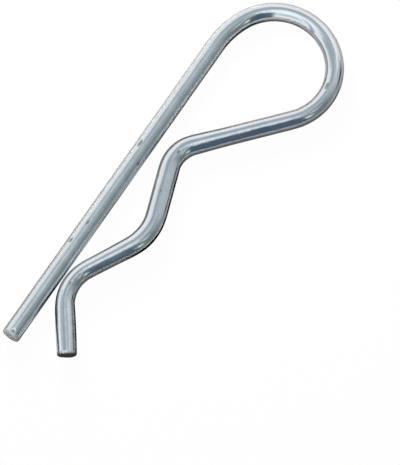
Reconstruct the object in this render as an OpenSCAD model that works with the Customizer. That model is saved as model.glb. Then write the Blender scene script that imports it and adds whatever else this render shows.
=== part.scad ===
// Hitch R clip: a retaining pin for a cross-drilled shaft, bent flat from one length of round spring wire.
// The straight leg goes through the hole in the shaft. The wavy leg springs over the outside of the shaft
// and grips it in the hump between the neck and the mouth. The loop is the spring and the finger pull.
// The clip lies flat on Z = 0, with the straight leg along X and the loop at its +X end.

/* [Wire] */
// Diameter of the drawn spring wire
wire_d = 5; // [3:0.1:6]
// Bevel round each cropped end of the wire
end_bevel = 0.45; // [0.1:0.05:0.8]

/* [Straight leg] */
// How far the straight leg reaches past the tip of the wavy leg, so that it finds the hole first
leg_lead = 3.9; // [3:0.1:12]

/* [Loop] */
// Radius of the easy bend that leads from the leg into the loop, to the middle of the wire
lead_in_r = 24; // [18:0.5:36]
// Angle that the lead-in turns through
lead_in_angle = 23; // [12:0.5:36]
// Radius of the loop, to the middle of the wire
loop_r = 15.9; // [13.5:0.1:20]
// Radius of the last part of the loop, where it closes in towards the neck
closing_r = 15; // [12:0.1:18]
// Angle that the closing part turns through
closing_angle = 80; // [60:1:100]
// Angle between the straight leg and the wire that runs in from the loop to the neck
run_in_angle = 41.5; // [34:0.5:52]

/* [Neck] */
// Clear gap between the two legs at the neck
neck_gap = 3.3; // [1.5:0.1:4.5]
// Radius of the bend at the neck
neck_bend_r = 9; // [7:0.5:13]

/* [Shaft seat] */
// Diameter of the shaft that the clip fits, which the hump follows
shaft_d = 23; // [20:0.5:28]
// Angle between the straight leg and the wire that climbs from the neck to the hump
rise_angle = 19; // [15:0.5:25]
// Angle between the straight leg and the wire that falls from the hump to the mouth
fall_angle = 27.5; // [23:0.5:33]

/* [Mouth] */
// Gap between the two legs at the mouth, where an unloaded clip all but touches itself
mouth_gap = 0.2; // [0.1:0.1:2]
// Radius of the bend at the mouth
mouth_bend_r = 11.5; // [7:0.5:15]
// Angle at which the tip of the wavy leg flares away from the straight leg
flare_angle = 36; // [28:0.5:46]
// Length of the flared tip past the bend at the mouth
flare_length = 13.4; // [9:0.1:18]

/* [Hidden] */
$fn = 96;

wire_r = wire_d / 2;
// A bend comes off its tool a trace fuller than the drawn wire
bend_swell = 0.01;
// How far the drawn wire reaches inside the fuller bends at its ends
lap = 0.1;
// Half the height of the clip as it lies, to the middle of the wire
rest_height = wire_r + bend_swell;

// Depth of the wavy leg where it turns, from the middle of one leg to the middle of the other
neck_depth = wire_d + neck_gap;
mouth_depth = wire_d + mouth_gap;
// The leg runs through the middle of the shaft, so the hump is bent about a point on the leg
hump_bend_r = shaft_d / 2 + wire_r;
hump_depth = hump_bend_r;

// A stretch of wire is [length, 0] where it is straight and [radius, turn] where it bends, with a turn
// to the left positive. A place on the wire is [x, y, heading].
function ahead(p, s) =
    s[1] == 0
    ? [p[0] + s[0] * cos(p[2]), p[1] + s[0] * sin(p[2]), p[2]]
    : let (side = sign(s[1]), heading = p[2] + s[1])
      [p[0] + side * s[0] * (sin(heading) - sin(p[2])),
       p[1] - side * s[0] * (cos(heading) - cos(p[2])),
       heading];

// Where a run of stretches ends, when it starts at the end of the straight leg
function run_end(run, i = 0, p = [0, 0, 0]) = i == len(run) ? p : run_end(run, i + 1, ahead(p, run[i]));

// How much depth a bend uses up as it turns out of line by an angle
function bend_depth(radius, angle) = radius * (1 - cos(angle));

// The loop turns half round and then on, until the wire heads in to the neck
loop_angle = 180 + run_in_angle - lead_in_angle - closing_angle;
lead_in = [lead_in_r, -lead_in_angle];
loop = [loop_r, -loop_angle];
closing = [closing_r, -closing_angle];
loop_depth = -run_end([lead_in, loop, closing])[1];

// The straight stretches take up what depth the bends leave between the turning points
run_in = (loop_depth - neck_depth - bend_depth(neck_bend_r, run_in_angle)) / sin(run_in_angle);
rise = (hump_depth - neck_depth - bend_depth(neck_bend_r + hump_bend_r, rise_angle)) / sin(rise_angle);
fall = (hump_depth - mouth_depth - bend_depth(hump_bend_r + mouth_bend_r, fall_angle)) / sin(fall_angle);

// The wire from the loop to the tip of the wavy leg, then the straight leg that outreaches it
wavy_run = [
    lead_in,
    loop,
    closing,
    [run_in, 0],
    [neck_bend_r, run_in_angle + rise_angle],
    [rise, 0],
    [hump_bend_r, -rise_angle - fall_angle],
    [fall, 0],
    [mouth_bend_r, fall_angle + flare_angle],
    [flare_length, 0]
];
leg_length = leg_lead - run_end(wavy_run)[0];
wire = concat([[leg_length, 0]], wavy_run);
last = len(wire) - 1;
starts = [for (i = 0, p = [-leg_length, 0, 0]; i <= last; p = ahead(p, wire[i]), i = i + 1) p];

// The clip's reach in the frame of the straight leg: the far side of the loop, and its low side
loop_start = run_end([lead_in]);
closing_start = run_end([lead_in, loop]);
reach_x = loop_start[0] + loop_r * (1 - sin(lead_in_angle)) + wire_r;
low_y = closing_start[1] - closing_r * (1 + cos(closing_start[2])) - wire_r - bend_swell;
high_y = wire_r + bend_swell;

// Along the wire, every second stretch is one of the fuller bends
function fuller(i) = i % 2 == 1;

// A straight stretch along +X. A cropped end is bevelled, and an end at a bend laps into it.
module straight(length, crop_start, crop_end) {
    start = crop_start ? end_bevel : -lap;
    end = crop_end ? length - end_bevel : length + lap;
    rotate([0, 90, 0]) {
        translate([0, 0, start]) cylinder(r = wire_r, h = end - start);
        if (crop_start) cylinder(r1 = wire_r - end_bevel, r2 = wire_r, h = end_bevel);
        if (crop_end) translate([0, 0, end]) cylinder(r1 = wire_r, r2 = wire_r - end_bevel, h = end_bevel);
    }
}

// A bend that starts at the origin, heading along +X. A fuller bend ends flush, and any other laps into it.
module bend(radius, turn, full) {
    over = full ? 0 : lap / radius * 180 / PI;
    first = turn > 0 ? -90 - over : 90 + turn - over;
    translate([0, sign(turn) * radius, 0])
        rotate([0, 0, first])
            rotate_extrude(angle = abs(turn) + 2 * over)
                translate([radius, 0]) circle(r = wire_r + (full ? bend_swell : 0));
}

module clip() {
    color("silver")
        translate([(leg_length - reach_x) / 2, -(low_y + high_y) / 2, rest_height])
            for (i = [0 : last])
                translate([starts[i][0], starts[i][1], 0])
                    rotate([0, 0, starts[i][2]])
                        if (wire[i][1] == 0)
                            straight(wire[i][0], i == 0, i == last);
                        else
                            bend(wire[i][0], wire[i][1], fuller(i));
}

clip();
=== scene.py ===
import math

import bpy
import numpy as np
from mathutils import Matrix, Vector


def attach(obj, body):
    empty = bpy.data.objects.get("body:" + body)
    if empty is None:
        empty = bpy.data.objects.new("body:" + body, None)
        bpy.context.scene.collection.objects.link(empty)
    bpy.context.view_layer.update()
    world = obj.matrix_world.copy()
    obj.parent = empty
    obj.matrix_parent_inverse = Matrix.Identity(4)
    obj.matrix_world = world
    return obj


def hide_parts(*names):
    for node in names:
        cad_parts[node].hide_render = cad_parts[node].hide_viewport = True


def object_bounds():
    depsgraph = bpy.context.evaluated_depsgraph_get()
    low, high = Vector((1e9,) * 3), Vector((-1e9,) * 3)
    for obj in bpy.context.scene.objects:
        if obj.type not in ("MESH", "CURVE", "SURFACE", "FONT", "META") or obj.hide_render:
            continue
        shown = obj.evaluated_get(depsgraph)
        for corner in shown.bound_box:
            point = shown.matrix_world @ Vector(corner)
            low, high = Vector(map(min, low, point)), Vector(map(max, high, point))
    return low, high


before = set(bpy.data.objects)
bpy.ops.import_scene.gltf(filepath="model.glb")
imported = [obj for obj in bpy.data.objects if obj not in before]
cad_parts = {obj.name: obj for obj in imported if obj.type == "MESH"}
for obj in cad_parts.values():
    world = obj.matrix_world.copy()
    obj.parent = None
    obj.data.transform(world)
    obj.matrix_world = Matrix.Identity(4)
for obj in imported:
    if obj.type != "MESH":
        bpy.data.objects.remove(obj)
cad_low, cad_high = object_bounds()

MM = 0.001

# The drawn wire, the height of its middle line over the floor, and the roll of its cropped rims
WIRE_R = 2.5 * MM
REST_HEIGHT = 2.51 * MM
BEVEL = 0.45 * MM

# Sizes of the bent form, in millimetres and degrees
LEAD_IN_R, LEAD_IN_ANGLE = 24, 23
LOOP_R = 15.9
CLOSING_R, CLOSING_ANGLE = 15, 80
RUN_IN_ANGLE = 41.5
NECK_DEPTH, NECK_BEND_R = 8.3, 9
SEAT_BEND_R, RISE_ANGLE, FALL_ANGLE = 14, 19, 27.5
MOUTH_DEPTH, MOUTH_BEND_R = 5.2, 11.5
FLARE_ANGLE, FLARE_LENGTH = 36, 13.4
LEG_LEAD = 3.9

# A bend eases in and out over this length, because spring wire never kinks
EASE = 1.6 * MM
# The middle line is summed up in steps of this length
PATH_STEP = 0.04 * MM

# A bend of this radius or less has the full flat on its outside and the full press mark on its inside.
# Each has its depth and its half width, in degrees round the wire
TIGHT_R = 9 * MM
FLAT_DEPTH, FLAT_HALF_WIDTH = 0.07 * MM, 75
PRESS_DEPTH, PRESS_HALF_WIDTH = 0.05 * MM, 40

# Where the dies pressed the waves and spread the wire in its own plane: middle along the wire, half length and
# spread to each side in mm, and a factor that the spread's curve is multiplied by before its top is cut off at 1
SPREADS = [
    (205, 30, 0.33, 1.8),
    (254, 16, 0.22, 1),
]

# The blade's side of each cropped face, in degrees round the wire, and the face's relief
LEG_BLADE_SIDE, WAVY_BLADE_SIDE = 60, 250
ROLL_DEPTH, SLOPE_DEPTH, TEAR_DEPTH = 0.22 * MM, 0.05 * MM, 0.03 * MM

# The surface's grid
RING_SPACING = 0.34 * MM
SIDES = 96
FACE_RINGS, BEVEL_RINGS = 12, 8


def stretch_ends(stretches):
    """Places where stretches of (length, turn) end, from the origin heading +X. A stretch's chord is its length
    times sin(half turn) / (half turn), and points half a turn on from its start."""
    length, turn = np.array(stretches, float).T
    turn = np.radians(turn)
    mid = np.cumsum(turn) - turn / 2
    chord = length * np.sinc(turn / 2 / np.pi)
    return np.cumsum(chord * np.cos(mid)), np.cumsum(chord * np.sin(mid))


def bend(radius, turn):
    """An arc of a radius in millimetres that turns by an angle, positive to the left."""
    return (radius * abs(math.radians(turn)), turn)


def rise_between(depth, radius, angle):
    """Length of the straight stretch at an angle that, with bends that use up radius * (1 - cos(angle)), takes up
    a depth."""
    return (depth - radius * (1 - math.cos(math.radians(angle)))) / math.sin(math.radians(angle))


loop = [
    bend(LEAD_IN_R, -LEAD_IN_ANGLE),
    bend(LOOP_R, LEAD_IN_ANGLE + CLOSING_ANGLE - 180 - RUN_IN_ANGLE),
    bend(CLOSING_R, -CLOSING_ANGLE),
]
loop_depth = -stretch_ends(loop)[1][-1]
wavy_leg = [
    (rise_between(loop_depth - NECK_DEPTH, NECK_BEND_R, RUN_IN_ANGLE), 0),
    bend(NECK_BEND_R, RUN_IN_ANGLE + RISE_ANGLE),
    (rise_between(SEAT_BEND_R - NECK_DEPTH, NECK_BEND_R + SEAT_BEND_R, RISE_ANGLE), 0),
    bend(SEAT_BEND_R, -RISE_ANGLE - FALL_ANGLE),
    (rise_between(SEAT_BEND_R - MOUTH_DEPTH, SEAT_BEND_R + MOUTH_BEND_R, FALL_ANGLE), 0),
    bend(MOUTH_BEND_R, FALL_ANGLE + FLARE_ANGLE),
    (FLARE_LENGTH, 0),
]
LEG_LENGTH = LEG_LEAD - stretch_ends(loop + wavy_leg)[0][-1]
STRETCHES = [(LEG_LENGTH, 0)] + loop + wavy_leg
STRETCH_ENDS = np.cumsum([s[0] for s in STRETCHES]) * MM
WIRE_LENGTH = STRETCH_ENDS[-1]


def middle_line(along):
    """Place, heading and curvature of the wire's middle line at distances along it.
    Curvature is turn / length in each stretch, eased by a running mean of cosine shape. Heading is the running sum
    of curvature, and place is the running sum of (cos, sin) of the heading."""
    s = np.arange(0, WIRE_LENGTH + 2 * PATH_STEP, PATH_STEP)
    stretch = np.minimum(np.searchsorted(STRETCH_ENDS, s, side="right"), len(STRETCHES) - 1)
    length, turn = np.array(STRETCHES, float).T
    curvature = (np.radians(turn) / (length * MM))[stretch]
    easing = np.hanning(2 * int(EASE / PATH_STEP) + 1)
    curvature = np.convolve(curvature, easing / easing.sum(), mode="same")
    heading = np.concatenate([[0], np.cumsum((curvature[1:] + curvature[:-1]) / 2 * PATH_STEP)])
    mid = (heading[1:] + heading[:-1]) / 2
    x = np.concatenate([[0], np.cumsum(np.cos(mid) * PATH_STEP)])
    y = np.concatenate([[0], np.cumsum(np.sin(mid) * PATH_STEP)])
    # The leg starts at the box's low X side, and lies along its high Y side
    x += cad_low.x
    y += cad_high.y - REST_HEIGHT
    return tuple(np.interp(along, s, v) for v in (x, y, heading, curvature))


def bump_at(distance, half_width):
    """1 at no distance, falling as cos squared to 0 at half_width."""
    return np.cos(np.clip(distance / half_width, -1, 1) * np.pi / 2) ** 2


def turned_from(around, place):
    """Angle from a place round the wire, in -180..180 degrees."""
    return (np.degrees(around) - place + 180) % 360 - 180


# Small dents from the plating barrel: distance along the wire, place round it in degrees, and half length,
# half width and depth in mm
NICKS = [
    (63.0, 67, 1.9, 0.8, 0.07),
    (58.0, 133, 1.0, 0.8, 0.08),
    (37.0, 86, 1.3, 0.6, 0.06),
    (30.5, 62, 1.5, 0.7, 0.06),
    (147.6, 110, 2.0, 0.9, 0.10),
    (1.0, 98, 0.9, 0.9, 0.22),
    (193.0, 82, 1.2, 0.5, 0.05),
    (242.0, 91, 1.0, 0.5, 0.05),
    (18.0, 205, 1.1, 0.6, 0.04),
    (82.0, 300, 1.4, 0.5, 0.04),
    (122.0, 20, 1.0, 0.6, 0.04),
    (173.0, 240, 1.3, 0.6, 0.04),
    (205.0, 100, 0.9, 0.5, 0.03),
    (228.0, 310, 1.2, 0.6, 0.04),
]


def wire_radius(along, around, curvature):
    """Radius of the wire at a distance along it and an angle round it from its left side.
    The drawn radius, less a flat on the outside of each bend that grows with curvature, less a press mark where the
    bending pin bore on the inside, plus a spread in the wire's own plane where the dies pressed the waves, less the
    nicks, each a dip of cos squared both ways. The nicks alone come back too, as 0 to 1, for where the plating is
    broken."""
    radius = np.full(np.broadcast(along, around).shape, WIRE_R)
    outside = np.where(curvature > 0, 180.0, 0.0)
    tight = np.clip(np.abs(curvature) * TIGHT_R, 0, 1)
    radius -= FLAT_DEPTH * tight * bump_at(turned_from(around, outside), FLAT_HALF_WIDTH)
    # The pin's mark starts at half of the full curvature
    pressed = np.clip((tight - 0.5) * 4, 0, 1)
    radius -= PRESS_DEPTH * pressed * bump_at(turned_from(around, outside + 180), PRESS_HALF_WIDTH)
    for at, length, amount, factor in SPREADS:
        spread = amount * MM * np.minimum(1, factor * bump_at(along - at * MM, length * MM))
        radius += spread * np.cos(around) ** 2
    nicked = np.zeros(radius.shape)
    for at, place, length, width, depth in NICKS:
        turn = turned_from(around, place) * np.pi / 180 * WIRE_R
        dip = bump_at(along - at * MM, length * MM) * bump_at(turn, width * MM)
        radius -= depth * MM * dip
        nicked = np.maximum(nicked, dip)
    return radius, nicked


def crop_relief(across, around, blade_side):
    """How far the cropped face lies behind the end plane. It rolls over where the blade went in, as the fourth power
    of the way across to that side, slopes a little from there to the far side, and is torn beyond the middle."""
    way = across * np.cos(np.radians(turned_from(around, blade_side)))
    rolled = ROLL_DEPTH * np.clip(way, 0, 1) ** 4
    slope = SLOPE_DEPTH * (1 + way)
    torn = TEAR_DEPTH * (1 + np.sin(9 * way + 3 * across * np.sin(around))) * np.clip(0.3 - way, 0, 1)
    return rolled + slope + torn * (1 - across**4)


def wire_surface():
    """The wire as a grid of rings: each cropped face from its middle out, its bevel as a quarter circle, and the
    barrel between them. Returns the points, each point's place on the straight wire as it was drawn, and how far
    each lies in a nick, from 0 to 1."""
    down_bevel = np.linspace(0, 1, BEVEL_RINGS + 1)[1:]
    across = np.concatenate([np.linspace(0.02, 0.96, FACE_RINGS), down_bevel])
    bevel = np.concatenate([np.zeros(FACE_RINGS), down_bevel])
    turn = bevel * np.pi / 2
    face_r = WIRE_R - BEVEL
    end_radius = np.where(bevel > 0, face_r + BEVEL * np.sin(turn), face_r * across)
    end_inset = BEVEL * (1 - np.cos(turn))
    count = int(round((WIRE_LENGTH - 2 * BEVEL) / RING_SPACING))
    barrel = np.linspace(BEVEL, WIRE_LENGTH - BEVEL, count + 1)[1:-1]
    along = np.concatenate([end_inset, barrel, (WIRE_LENGTH - end_inset)[::-1]])[:, None]
    share = np.concatenate([end_radius, np.full(len(barrel), WIRE_R), end_radius[::-1]])[:, None] / WIRE_R
    around = np.linspace(0, 2 * np.pi, SIDES, endpoint=False)[None, :]

    x, y, heading, curvature = middle_line(along[:, 0])
    radius, nicked = wire_radius(along, around, curvature[:, None])
    radius = radius * share
    # The faces' relief fades out down the bevel
    from_start = 1 - np.clip(along / BEVEL, 0, 1)
    from_end = 1 - np.clip((WIRE_LENGTH - along) / BEVEL, 0, 1)
    ahead = from_start * crop_relief(share, around, LEG_BLADE_SIDE)
    ahead = ahead - from_end * crop_relief(share, around, WAVY_BLADE_SIDE)
    side = radius * np.cos(around)
    up = radius * np.sin(around)
    c, s = np.cos(heading)[:, None], np.sin(heading)[:, None]
    points = np.stack(
        [x[:, None] - s * side + c * ahead, y[:, None] + c * side + s * ahead, REST_HEIGHT + up], axis=-1
    )
    as_drawn = np.stack([side, up, along + 0 * around], axis=-1)
    return points, as_drawn, nicked


def closed_grid(name, points, as_drawn, nicked, crop_rings):
    """A closed mesh from rings of points: quads between rings, and a fan to a pole at the middle of each end ring.
    Its UV map unrolls the wire, with u once round it and v along it in the same measure. Faces inside the first and
    last crop_rings rings take the second material."""
    rings, sides = points.shape[:2]
    verts = np.concatenate([points.reshape(-1, 3), points[[0, -1]].mean(axis=1)])
    ring, side = np.arange(rings - 1)[:, None], np.arange(sides)[None, :]
    a, b = ring * sides + side, ring * sides + (side + 1) % sides
    quads = np.stack([a, a + sides, b + sides, b], axis=-1).reshape(-1, 4)
    j = np.arange(sides)
    k, end = (j + 1) % sides, (rings - 1) * sides
    first = np.stack([j, k, np.full(sides, rings * sides)], axis=-1)
    last = np.stack([end + k, end + j, np.full(sides, rings * sides + 1)], axis=-1)
    mesh = bpy.data.meshes.new(name)
    mesh.from_pydata(verts.tolist(), [], quads.tolist() + first.tolist() + last.tolist())

    drawn = mesh.attributes.new("as_drawn", "FLOAT_VECTOR", "POINT")
    drawn_places = np.concatenate([as_drawn.reshape(-1, 3), as_drawn[[0, -1]].mean(axis=1)])
    drawn.data.foreach_set("vector", drawn_places.ravel())
    mesh.attributes.new("nicked", "FLOAT", "POINT").data.foreach_set("value", np.append(nicked.ravel(), [0, 0]))
    v = as_drawn[:, 0, 2] / (2 * np.pi * WIRE_R)
    u_quads = np.stack(np.broadcast_arrays(side, side, side + 1, side + 1), axis=-1) / sides + 0 * ring[..., None]
    v_quads = np.stack([v[ring], v[ring + 1], v[ring + 1], v[ring]], axis=-1) + 0 * side[..., None]
    u_fan = np.stack([j, j + 1, j + 0.5], axis=-1) / sides
    # On the map a fan's pole lies a little past its ring
    past_ring = np.array([0, 0, 0.01])
    v_first = np.full((sides, 3), v[0]) - past_ring
    v_last = np.full((sides, 3), v[-1]) + past_ring
    u = np.concatenate([u_quads.ravel(), u_fan.ravel(), u_fan[:, [1, 0, 2]].ravel()])
    uv = np.stack([u, np.concatenate([v_quads.ravel(), v_first.ravel(), v_last.ravel()])], axis=-1)
    mesh.uv_layers.new(name="unrolled").data.foreach_set("uv", uv.ravel())
    cropped = np.ones((rings - 1, sides), int)
    cropped[crop_rings : rings - 1 - crop_rings] = 0
    mesh.polygons.foreach_set("material_index", np.concatenate([cropped.ravel(), np.ones(2 * sides, int)]))
    mesh.shade_smooth()
    mesh.validate()
    return mesh


points, as_drawn, nicked = wire_surface()
mesh = closed_grid("clip_wire", points, as_drawn, nicked, crop_rings=FACE_RINGS + BEVEL_RINGS)
wire = bpy.data.objects.new("clip_wire", mesh)
bpy.context.scene.collection.objects.link(wire)
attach(wire, "root")
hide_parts("clip")


# The finishes
def material(name):
    """A new material, its node tree and its Principled shader."""
    m = bpy.data.materials.new(name)
    m.use_nodes = True
    tree = m.node_tree
    return m, tree, tree.nodes["Principled BSDF"]


def put(tree, kind, links=(), **values):
    """Adds a node, sets its properties and its inputs by name, and links sockets to its inputs."""
    n = tree.nodes.new(kind)
    for key, value in values.items():
        if hasattr(n, key):
            setattr(n, key, value)
        else:
            n.inputs[key].default_value = value
    for socket, source in dict(links).items():
        tree.links.new(source, n.inputs[socket])
    return n


def effect(name, inputs, outputs):
    """A new node group that materials share, and the sockets that its insides take from and give to."""
    g = bpy.data.node_groups.new(name, "ShaderNodeTree")
    for label, kind in inputs:
        g.interface.new_socket(name=label, in_out="INPUT", socket_type=kind)
    for label, kind in outputs:
        g.interface.new_socket(name=label, in_out="OUTPUT", socket_type=kind)
    return g, g.nodes.new("NodeGroupInput").outputs, g.nodes.new("NodeGroupOutput").inputs


def use(tree, group, links, **values):
    """Adds a group's node to a material's tree, links or sets its inputs, and returns its outputs."""
    n = tree.nodes.new("ShaderNodeGroup")
    n.node_tree = group
    for key, value in values.items():
        n.inputs[key].default_value = value
    for socket, source in links.items():
        tree.links.new(source, n.inputs[socket])
    return n.outputs


def math_node(tree, operation, a, b):
    """A Math node's output. Each of a and b is a socket or a number."""
    n = tree.nodes.new("ShaderNodeMath")
    n.operation = operation
    for i, value in enumerate((a, b)):
        if isinstance(value, (int, float)):
            n.inputs[i].default_value = value
        else:
            tree.links.new(value, n.inputs[i])
    return n.outputs[0]


def ramp(tree, value, low, high, to_low=0.0, to_high=1.0):
    """Value from low..high carried over to to_low..to_high, smoothly at both ends."""
    n = put(tree, "ShaderNodeMapRange", {"Value": value}, interpolation_type="SMOOTHSTEP")
    for socket, number in (("From Min", low), ("From Max", high), ("To Min", to_low), ("To Max", to_high)):
        n.inputs[socket].default_value = number
    return n.outputs[0]


def tint(tree, share, start, end):
    """Colour from start to end by a share from 0 to 1. Each colour is a socket or numbers."""
    n = put(tree, "ShaderNodeMix", data_type="RGBA")
    tree.links.new(share, n.inputs[0])
    for socket, colour in ((n.inputs[6], start), (n.inputs[7], end)):
        if isinstance(colour, tuple):
            socket.default_value = (*colour, 1)
        else:
            tree.links.new(colour, socket)
    return n.outputs[2]


VALUE, VECTOR = "NodeSocketFloat", "NodeSocketVector"

# Fine scratches that run one way: noise drawn out along the third axis of a place in millimetres
line_inputs = [("Place", VECTOR), ("Width", VALUE), ("Length", VALUE)]
drawn_lines, given, out = effect("drawn_lines", line_inputs, [("Lines", VALUE)])
across = math_node(drawn_lines, "DIVIDE", 1.0, given["Width"])
along = math_node(drawn_lines, "DIVIDE", 1.0, given["Length"])
scale = put(drawn_lines, "ShaderNodeCombineXYZ", {"X": across, "Y": across, "Z": along})
drawn_out = put(drawn_lines, "ShaderNodeVectorMath", {0: given["Place"], 1: scale.outputs[0]}, operation="MULTIPLY")
noise = put(drawn_lines, "ShaderNodeTexNoise", {"Vector": drawn_out.outputs[0]}, Scale=1.0, Detail=3.0, Roughness=0.6)
drawn_lines.links.new(ramp(drawn_lines, noise.outputs[0], 0.25, 0.75), out["Lines"])

# Soft blotches of one size in every direction, such as a plating bath or handling leaves
blotches, given, out = effect("blotches", [("Place", VECTOR), ("Size", VALUE)], [("Blotch", VALUE)])
per_size = math_node(blotches, "DIVIDE", 1.0, given["Size"])
scaled = put(blotches, "ShaderNodeVectorMath", {0: given["Place"], "Scale": per_size}, operation="SCALE")
noise = put(blotches, "ShaderNodeTexNoise", {"Vector": scaled.outputs[0]}, Scale=1.0, Detail=4.0, Roughness=0.55)
blotches.links.new(ramp(blotches, noise.outputs[0], 0.3, 0.7), out["Blotch"])

# Small round pits: one in some of the cells of a Voronoi texture, deepest in the middle
pit_inputs = [("Place", VECTOR), ("Spacing", VALUE), ("Radius", VALUE), ("Share", VALUE)]
pits, given, out = effect("pits", pit_inputs, [("Pit", VALUE)])
per_spacing = math_node(pits, "DIVIDE", 1.0, given["Spacing"])
scaled = put(pits, "ShaderNodeVectorMath", {0: given["Place"], "Scale": per_spacing}, operation="SCALE")
cells = put(pits, "ShaderNodeTexVoronoi", {"Vector": scaled.outputs[0]}, Scale=1.0)
off_middle = math_node(pits, "MULTIPLY", cells.outputs["Distance"], given["Spacing"])
off_middle = math_node(pits, "DIVIDE", off_middle, given["Radius"])
red = put(pits, "ShaderNodeSeparateColor", {0: cells.outputs["Color"]}).outputs[0]
chosen = math_node(pits, "LESS_THAN", red, given["Share"])
depth = math_node(pits, "MULTIPLY", ramp(pits, off_middle, 0.3, 1.0, 1.0, 0.0), chosen)
pits.links.new(depth, out["Pit"])


def place_on_wire(tree):
    """Place on the straight wire as it was drawn, in millimetres: sideways, up and along."""
    drawn = put(tree, "ShaderNodeAttribute", attribute_name="as_drawn")
    in_mm = put(tree, "ShaderNodeVectorMath", {0: drawn.outputs["Vector"]}, operation="SCALE", Scale=1000.0)
    return in_mm.outputs[0]


def relief(tree, shader, height):
    """Bumps the shader's normal by a height in millimetres."""
    bump = put(tree, "ShaderNodeBump", {"Height": height}, Distance=0.001, Strength=1.0)
    tree.links.new(bump.outputs[0], shader.inputs["Normal"])


# Zinc from dull to bright, and what its drawn lines, its grain and its pits darken it to
DULL_ZINC, BRIGHT_ZINC = (0.80, 0.83, 0.855), (0.89, 0.91, 0.925)
LINE_ZINC, GRAIN_ZINC, PIT_ZINC = (0.64, 0.67, 0.69), (0.66, 0.69, 0.73), (0.20, 0.21, 0.20)
# Heights of the plating's relief, in millimetres
WAVE_HEIGHT, LINE_HEIGHT, HAIR_HEIGHT, PEEL_HEIGHT, PIT_DEPTH = 0.012, 0.006, 0.0014, 0.010, 0.03
# Roughness where the zinc is brightest, and what handling adds along the leg, fading out where the loop starts
ZINC_ROUGHNESS, HANDLED_ROUGHNESS = 0.07, 0.13
HANDLED_FADE = (92.0, 108.0)

zinc, tree, shader = material("zinc_plating")
place = place_on_wire(tree)
wave = use(tree, drawn_lines, {"Place": place}, Width=1.1, Length=9.0)["Lines"]
lines = use(tree, drawn_lines, {"Place": place}, Width=0.32, Length=24.0)["Lines"]
hair = use(tree, drawn_lines, {"Place": place}, Width=0.07, Length=5.0)["Lines"]
bloom = use(tree, blotches, {"Place": place}, Size=4.5)["Blotch"]
grain = use(tree, blotches, {"Place": place}, Size=0.35)["Blotch"]
pit = use(tree, pits, {"Place": place}, Spacing=3.1, Radius=0.28, Share=0.22)["Pit"]
broken = put(tree, "ShaderNodeAttribute", attribute_name="nicked").outputs["Fac"]
# A nick breaks the plating, so that it looks like a pit
pit = math_node(tree, "MAXIMUM", pit, math_node(tree, "MULTIPLY", ramp(tree, broken, 0.15, 0.7), 0.9))
peel = use(tree, blotches, {"Place": place}, Size=1.9)["Blotch"]
distance_along = put(tree, "ShaderNodeSeparateXYZ", {0: place}).outputs["Z"]
handled = ramp(tree, distance_along, *HANDLED_FADE, HANDLED_ROUGHNESS, 0.0)
silver = tint(tree, bloom, DULL_ZINC, BRIGHT_ZINC)
silver = tint(tree, math_node(tree, "MULTIPLY", lines, 0.7), silver, LINE_ZINC)
silver = tint(tree, math_node(tree, "MULTIPLY", grain, 0.5), silver, GRAIN_ZINC)
silver = tint(tree, math_node(tree, "MULTIPLY", pit, 0.8), silver, PIT_ZINC)
tree.links.new(silver, shader.inputs["Base Color"])
dull = math_node(tree, "ADD", math_node(tree, "MULTIPLY", bloom, 0.07), math_node(tree, "MULTIPLY", grain, 0.05))
dull = math_node(tree, "ADD", math_node(tree, "ADD", dull, handled), math_node(tree, "MULTIPLY", pit, 0.25))
dull = math_node(tree, "ADD", dull, ZINC_ROUGHNESS)
tree.links.new(dull, shader.inputs["Roughness"])
height = math_node(tree, "MULTIPLY", wave, WAVE_HEIGHT)
height = math_node(tree, "ADD", height, math_node(tree, "MULTIPLY", lines, LINE_HEIGHT))
height = math_node(tree, "ADD", height, math_node(tree, "MULTIPLY", hair, HAIR_HEIGHT))
height = math_node(tree, "ADD", height, math_node(tree, "MULTIPLY", peel, PEEL_HEIGHT))
height = math_node(tree, "SUBTRACT", height, math_node(tree, "MULTIPLY", pit, PIT_DEPTH))
relief(tree, shader, height)
shader.inputs["Metallic"].default_value = 1.0
shader.inputs["Specular Tint"].default_value = (0.80, 0.81, 0.82, 1)
mesh.materials.append(zinc)

# Each end was cropped. The blade drags a pale lip of zinc over the rim. The leg's end was sheared right across, and
# its pale face is partly bright shear and partly painted light. Most of the wavy end's face is torn and dark, up to
# its top rim, where the same pale colours make a painted highlight
LIT_SHEAR_DULL, LIT_SHEAR_BRIGHT, DARK_TORN_FACE = (0.88, 0.91, 0.90), (0.97, 0.98, 0.97), (0.16, 0.147, 0.13)
STEEL_PIT, ZINC_LIP = (0.08, 0.075, 0.07), (0.70, 0.73, 0.75)
# Heights of the steel's relief, in millimetres, and its roughness where it was sheared
SHEAR_HEIGHT, TEAR_HEIGHT, STEEL_PIT_DEPTH = 0.010, 0.03, 0.04
STEEL_ROUGHNESS = 0.48
# A stretch well between the wire's two ends, in millimetres along it, that tells them apart
BETWEEN_ENDS = (100.0, 101.0)

steel, tree, shader = material("cropped_steel")
place = place_on_wire(tree)
# The shear's fine lines run the way that the blade went over the face
turned = put(tree, "ShaderNodeVectorRotate", {"Vector": place}, rotation_type="Z_AXIS", Angle=math.radians(-30))
xyz = put(tree, "ShaderNodeSeparateXYZ", {0: turned.outputs[0]}).outputs
blade_way = put(tree, "ShaderNodeCombineXYZ", {"X": xyz["Y"], "Y": xyz["Z"], "Z": xyz["X"]}).outputs[0]
shear = use(tree, drawn_lines, {"Place": blade_way}, Width=0.12, Length=1.6)["Lines"]
tear = use(tree, blotches, {"Place": place}, Size=0.5)["Blotch"]
pit = use(tree, pits, {"Place": place}, Spacing=0.6, Radius=0.12, Share=0.4)["Pit"]
apart = put(tree, "ShaderNodeSeparateXYZ", {0: place}).outputs
flat = put(tree, "ShaderNodeCombineXYZ", {"X": apart["X"], "Y": apart["Y"]}).outputs[0]
out_from_axis = put(tree, "ShaderNodeVectorMath", {0: flat}, operation="LENGTH").outputs["Value"]
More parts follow.
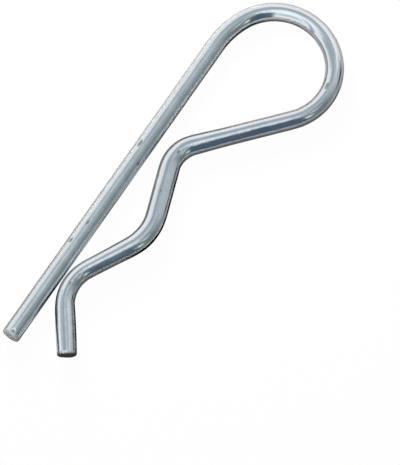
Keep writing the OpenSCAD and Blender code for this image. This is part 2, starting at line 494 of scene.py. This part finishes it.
ragged = math_node(tree, "ADD", out_from_axis, math_node(tree, "MULTIPLY", tear, 0.25))
lip = ramp(tree, ragged, 2.44, 2.60)
far_end = ramp(tree, apart["Z"], *BETWEEN_ENDS)
torn_edge = math_node(tree, "ADD", apart["Y"], math_node(tree, "MULTIPLY", tear, 0.8))
torn = math_node(tree, "MULTIPLY", ramp(tree, torn_edge, 2.7, 1.7), far_end)
torn = math_node(tree, "MAXIMUM", torn, math_node(tree, "MULTIPLY", tear, 0.12))
# The pale sheared colours are painted light, and a painted highlight where they show at the wavy end's top rim
metal = tint(tree, shear, LIT_SHEAR_DULL, LIT_SHEAR_BRIGHT)
metal = tint(tree, torn, metal, DARK_TORN_FACE)
metal = tint(tree, math_node(tree, "MULTIPLY", pit, 0.6), metal, STEEL_PIT)
lip = math_node(tree, "MULTIPLY", lip, ramp(tree, apart["Z"], *BETWEEN_ENDS, 0.9, 0.25))
metal = tint(tree, lip, metal, ZINC_LIP)
tree.links.new(metal, shader.inputs["Base Color"])
rough = math_node(tree, "ADD", math_node(tree, "MULTIPLY", torn, 0.25), math_node(tree, "MULTIPLY", tear, 0.12))
tree.links.new(math_node(tree, "ADD", rough, STEEL_ROUGHNESS), shader.inputs["Roughness"])
height = math_node(tree, "MULTIPLY", shear, SHEAR_HEIGHT)
height = math_node(tree, "ADD", height, math_node(tree, "MULTIPLY", tear, TEAR_HEIGHT))
height = math_node(tree, "SUBTRACT", height, math_node(tree, "MULTIPLY", pit, STEEL_PIT_DEPTH))
relief(tree, shader, height)
shader.inputs["Metallic"].default_value = 1.0
shader.inputs["Specular Tint"].default_value = (0.4, 0.4, 0.4, 1)
mesh.materials.append(steel)


# The studio: where the camera stands, in degrees round and up, how far it is in metres, and the place that it
# looks at in millimetres
CAMERA_AZIMUTH, CAMERA_ELEVATION, CAMERA_DISTANCE = -56.44, 70.80, 3.3943
CAMERA_AIM = (-7.925, -9.386, 2.51)

# Points in a card's grid each way, and how high a strip lies over the floor
CARD_POINTS = 41
STRIP_LENGTHWISE, STRIP_CROSSWISE, STRIP_HEIGHT = 81, 21, 0.05 * MM
LAMP_RINGS, LAMP_SPOKES = 25, 49

# Share of its own plain light that the floor shows to the camera and to the metal, how strong that light is, how
# white its paper is, and how strong the room's light is for every other ray
FLOOR_IN_CAMERA, FLOOR_IN_METAL, FLOOR_GLOW, PAPER = 0.93, 0.07, 1.05, 0.92
ROOM_LIGHT = 0.06

# The key lamp: its direction as toward() has it, distance and size in metres, and power in watts
KEY_TURN, KEY_FALL, KEY_DISTANCE, KEY_SIZE, KEY_POWER = 112, 68, 0.20, 0.12, 0.55


def toward(turn, fall):
    """Direction at an angle round from the camera's right hand side and an angle down from overhead, both in degrees:
    (cos turn * sin fall, sin turn * sin fall, cos fall)."""
    turn, fall = np.radians(turn + CAMERA_AZIMUTH), np.radians(fall)
    x, y, z = np.cos(turn) * np.sin(fall), np.sin(turn) * np.sin(fall), np.cos(fall)
    return np.stack(np.broadcast_arrays(x, y, z), axis=-1)


def mirror_card(name, places, cover, colour):
    """A card that only the metal mirrors, from a grid of places. It gives off an even colour, and thins out to clear
    film where its cover falls from 1 to 0."""
    rows, columns = cover.shape
    index = np.arange(rows * columns).reshape(rows, columns)
    faces = np.stack([index[:-1, :-1], index[1:, :-1], index[1:, 1:], index[:-1, 1:]], axis=-1).reshape(-1, 4)
    mesh = bpy.data.meshes.new(name)
    mesh.from_pydata(places.reshape(-1, 3).tolist(), [], faces.tolist())
    mesh.attributes.new("cover", "FLOAT", "POINT").data.foreach_set("value", cover.ravel())
    finish = bpy.data.materials.new(name)
    finish.use_nodes = True
    tree = finish.node_tree
    tree.nodes.clear()
    glow = put(tree, "ShaderNodeEmission", Color=(*colour, 1))
    clear = put(tree, "ShaderNodeBsdfTransparent")
    edge = put(tree, "ShaderNodeAttribute", attribute_name="cover")
    mixed = put(tree, "ShaderNodeMixShader", {0: edge.outputs["Fac"], 1: clear.outputs[0], 2: glow.outputs[0]})
    put(tree, "ShaderNodeOutputMaterial", {"Surface": mixed.outputs[0]})
    mesh.materials.append(finish)
    o = bpy.data.objects.new(name, mesh)
    o.visible_camera = o.visible_diffuse = o.visible_shadow = False
    bpy.context.scene.collection.objects.link(o)


def soft_step(x):
    """0 below 0, 1 above 1, and 3 x^2 - 2 x^3 between."""
    x = np.clip(x, 0, 1)
    return x * x * (3 - 2 * x)


def wall_card(name, turn, fall, colour, feather, distance):
    """Part of a sphere round the clip, between two angles round from the camera's right hand side and two angles
    down from overhead. Its cover grows from each edge over half the feather each way."""
    side, top = feather[0] / 2, feather[1] / 2
    u = np.linspace(turn[0] - side, turn[1] + side, CARD_POINTS)[:, None]
    v = np.linspace(fall[0] - top, fall[1] + top, CARD_POINTS)[None, :]
    across = np.minimum(u - turn[0], turn[1] - u) / feather[0] + 0.5
    down = np.minimum(v - fall[0], fall[1] - v) / feather[1] + 0.5
    mirror_card(name, distance * toward(u, v), soft_step(across) * soft_step(down), colour)


def floor_strip(name, along, side, colour, feather):
    """A strip that lies just over the floor beside the wire, between two distances along it and two distances from
    its middle line to its left, in millimetres. Its cover grows from each edge over half the feather each way."""
    end, edge = feather[0] / 2, feather[1] / 2
    s = np.linspace(along[0] - end, along[1] + end, STRIP_LENGTHWISE)[:, None]
    off = np.linspace(side[0] - edge, side[1] + edge, STRIP_CROSSWISE)[None, :]
    x, y, heading = (v[:, None] for v in middle_line(s[:, 0] * MM)[:3])
    x, y = x - np.sin(heading) * off * MM, y + np.cos(heading) * off * MM
    lengthwise = np.minimum(s - along[0], along[1] - s) / feather[0] + 0.5
    crosswise = np.minimum(off - side[0], side[1] - off) / feather[1] + 0.5
    places = np.stack(np.broadcast_arrays(x, y, STRIP_HEIGHT), axis=-1)
    mirror_card(name, places, soft_step(lengthwise) * soft_step(crosswise), colour)


def round_lamp(name, turn, fall, radius, colour, feather, distance):
    """A round soft lamp: part of a sphere round the clip, within an angle of one direction."""
    middle = toward(turn, fall)
    east = np.cross((0, 0, 1), middle)
    east /= np.linalg.norm(east)
    north = np.cross(middle, east)
    off = np.radians(np.linspace(0, radius + feather / 2, LAMP_RINGS))[:, None, None]
    a = np.linspace(0, 2 * np.pi, LAMP_SPOKES)[None, :, None]
    places = distance * (np.cos(off) * middle + np.sin(off) * (np.cos(a) * east + np.sin(a) * north))
    cover = soft_step((radius - np.degrees(off[..., 0])) / feather + 0.5) + 0 * a[..., 0]
    mirror_card(name, places, cover, colour)


round_lamp("overhead_softbox", 230, 11, 18, (0.98, 1.15, 1.23), 6, 0.62)

# Name, turn and fall in degrees, colour, feather round and down in degrees, and distance in metres
WALLS = [
    ("right_post", (311, 331), (9, 46), (0.16, 0.22, 0.24), (5, 6), 0.60),
    ("left_post", (205, 213), (14, 98), (0.22, 0.34, 0.41), (7, 10), 0.60),
    ("near_right_cloth", (274, 314), (17, 96), (0.085, 0.12, 0.165), (8, 8), 0.70),
    ("window_slit", (312, 320), (45, 67), (0.85, 1.05, 0.97), (4, 8), 0.66),
    ("right_wall", (308, 346), (42, 96), (0.195, 0.23, 0.23), (6, 10), 0.74),
    ("right_wall_end", (338, 362), (12, 96), (0.27, 0.33, 0.345), (14, 8), 0.76),
    ("right_window_side", (354, 390), (14, 80), (0.52, 0.57, 0.60), (20, 8), 0.78),
    ("right_upper", (346, 388), (10, 29), (0.30, 0.36, 0.39), (14, 8), 0.73),
    ("upper_link", (18, 82), (10, 28), (0.50, 0.58, 0.63), (14, 8), 0.795),
    ("right_low_wall", (350, 384), (74, 97), (0.05, 0.055, 0.06), (12, 8), 0.77),
    ("roof_far", (48, 176), (16, 40), (0.38, 0.45, 0.505), (30, 12), 0.80),
    ("roof_far_low", (66, 112), (36, 48), (0.46, 0.53, 0.58), (16, 10), 0.81),
    ("roof_left", (146, 184), (34, 58), (0.46, 0.53, 0.59), (14, 14), 0.79),
    ("roof_near_left", (228, 264), (34, 56), (0.54, 0.62, 0.66), (12, 12), 0.75),
]
for wall in WALLS:
    wall_card(*wall)

# Name, distance along the wire and to its left in millimetres, colour, and feather lengthwise and crosswise.
# The dark ones are painted shade close to the wire, and the light ones a painted reflection of brightly lit paper
STRIPS = [
    ("beside_rise", (193, 224), (1.0, 10), (0.0, 0.0, 0.0), (8, 3)),
    ("beside_flare", (242, 262), (4, 11), (0.01, 0.012, 0.015), (8, 3)),
    ("between_legs", (197, 238), (-7.5, -2.4), (0.42, 0.455, 0.48), (8, 3)),
    ("flare_far_side", (252, 264), (-7.5, -2.5), (0.66, 0.71, 0.74), (6, 2)),
    ("beside_leg_tip", (1.5, 19), (-5, -1), (0.0, 0.0, 0.0), (3, 2)),
    ("inside_lead_in", (99, 113), (-8, -1), (0.02, 0.018, 0.016), (7, 3)),
]
for strip in STRIPS:
    floor_strip(*strip)

# The white floor, which is brighter to the camera than to the metal and still takes the shadow
scene = bpy.context.scene
floor_mesh = bpy.data.meshes.new("floor")
floor_mesh.from_pydata([(-4, -4, 0), (4, -4, 0), (4, 4, 0), (-4, 4, 0)], [], [(0, 1, 2, 3)])
floor = bpy.data.objects.new("floor", floor_mesh)
scene.collection.objects.link(floor)


def seen_plainly(tree, in_camera, in_metal):
    """in_camera for rays from the camera, in_metal for rays that the object mirrors or bends, and 0 for the light that
    spreads from surface to surface."""
    path = put(tree, "ShaderNodeLightPath").outputs
    mirrored = math_node(tree, "MAXIMUM", path["Is Glossy Ray"], path["Is Transmission Ray"])
    mirrored = math_node(tree, "MULTIPLY", mirrored, math_node(tree, "LESS_THAN", path["Diffuse Depth"], 0.5))
    plain = math_node(tree, "MULTIPLY", path["Is Camera Ray"], in_camera)
    return math_node(tree, "MAXIMUM", plain, math_node(tree, "MULTIPLY", mirrored, in_metal))


white = bpy.data.materials.new("white_floor")
white.use_nodes = True
tree = white.node_tree
tree.nodes.clear()
seen = seen_plainly(tree, FLOOR_IN_CAMERA, FLOOR_IN_METAL)
paper = put(tree, "ShaderNodeBsdfDiffuse", Color=(PAPER, PAPER, PAPER, 1))
lifted = put(tree, "ShaderNodeEmission", Color=(1, 1, 1, 1), Strength=FLOOR_GLOW)
both = put(tree, "ShaderNodeMixShader", {0: seen, 1: paper.outputs[0], 2: lifted.outputs[0]})
put(tree, "ShaderNodeOutputMaterial", {"Surface": both.outputs[0]})
floor_mesh.materials.append(white)

world = bpy.data.worlds.new("white_room")
scene.world = world
world.use_nodes = True
tree = world.node_tree
room = tree.nodes["Background"].inputs
room["Color"].default_value = (1, 1, 1, 1)
tree.links.new(ramp(tree, seen_plainly(tree, 1.0, 1.0), 0.0, 1.0, ROOM_LIGHT, 1.0), room["Strength"])

key_data = bpy.data.lights.new("key_lamp", "AREA")
key_data.size = KEY_SIZE
key_data.energy = KEY_POWER
key = bpy.data.objects.new("key_lamp", key_data)
key.visible_glossy = key.visible_camera = False
key_from = Vector(toward(KEY_TURN, KEY_FALL))
key.location = key_from * KEY_DISTANCE
key.rotation_mode = "QUATERNION"
key.rotation_quaternion = key_from.to_track_quat("Z", "Y")
scene.collection.objects.link(key)

# The camera
cam_data = bpy.data.cameras.new("camera")
cam = bpy.data.objects.new("camera", cam_data)
scene.collection.objects.link(cam)
cam_data.sensor_width = 36
cam_data.lens = 1000
az, el = math.radians(CAMERA_AZIMUTH), math.radians(CAMERA_ELEVATION)
back = Vector((math.sin(az) * math.cos(el), -math.cos(az) * math.cos(el), math.sin(el)))
cam.location = Vector(CAMERA_AIM) * MM + back * CAMERA_DISTANCE
cam.rotation_mode = "QUATERNION"
cam.rotation_quaternion = (-back).to_track_quat("-Z", "Y")
cam_data.clip_start, cam_data.clip_end = 0.05, 30
scene.camera = cam

scene.view_settings.view_transform = "Standard"
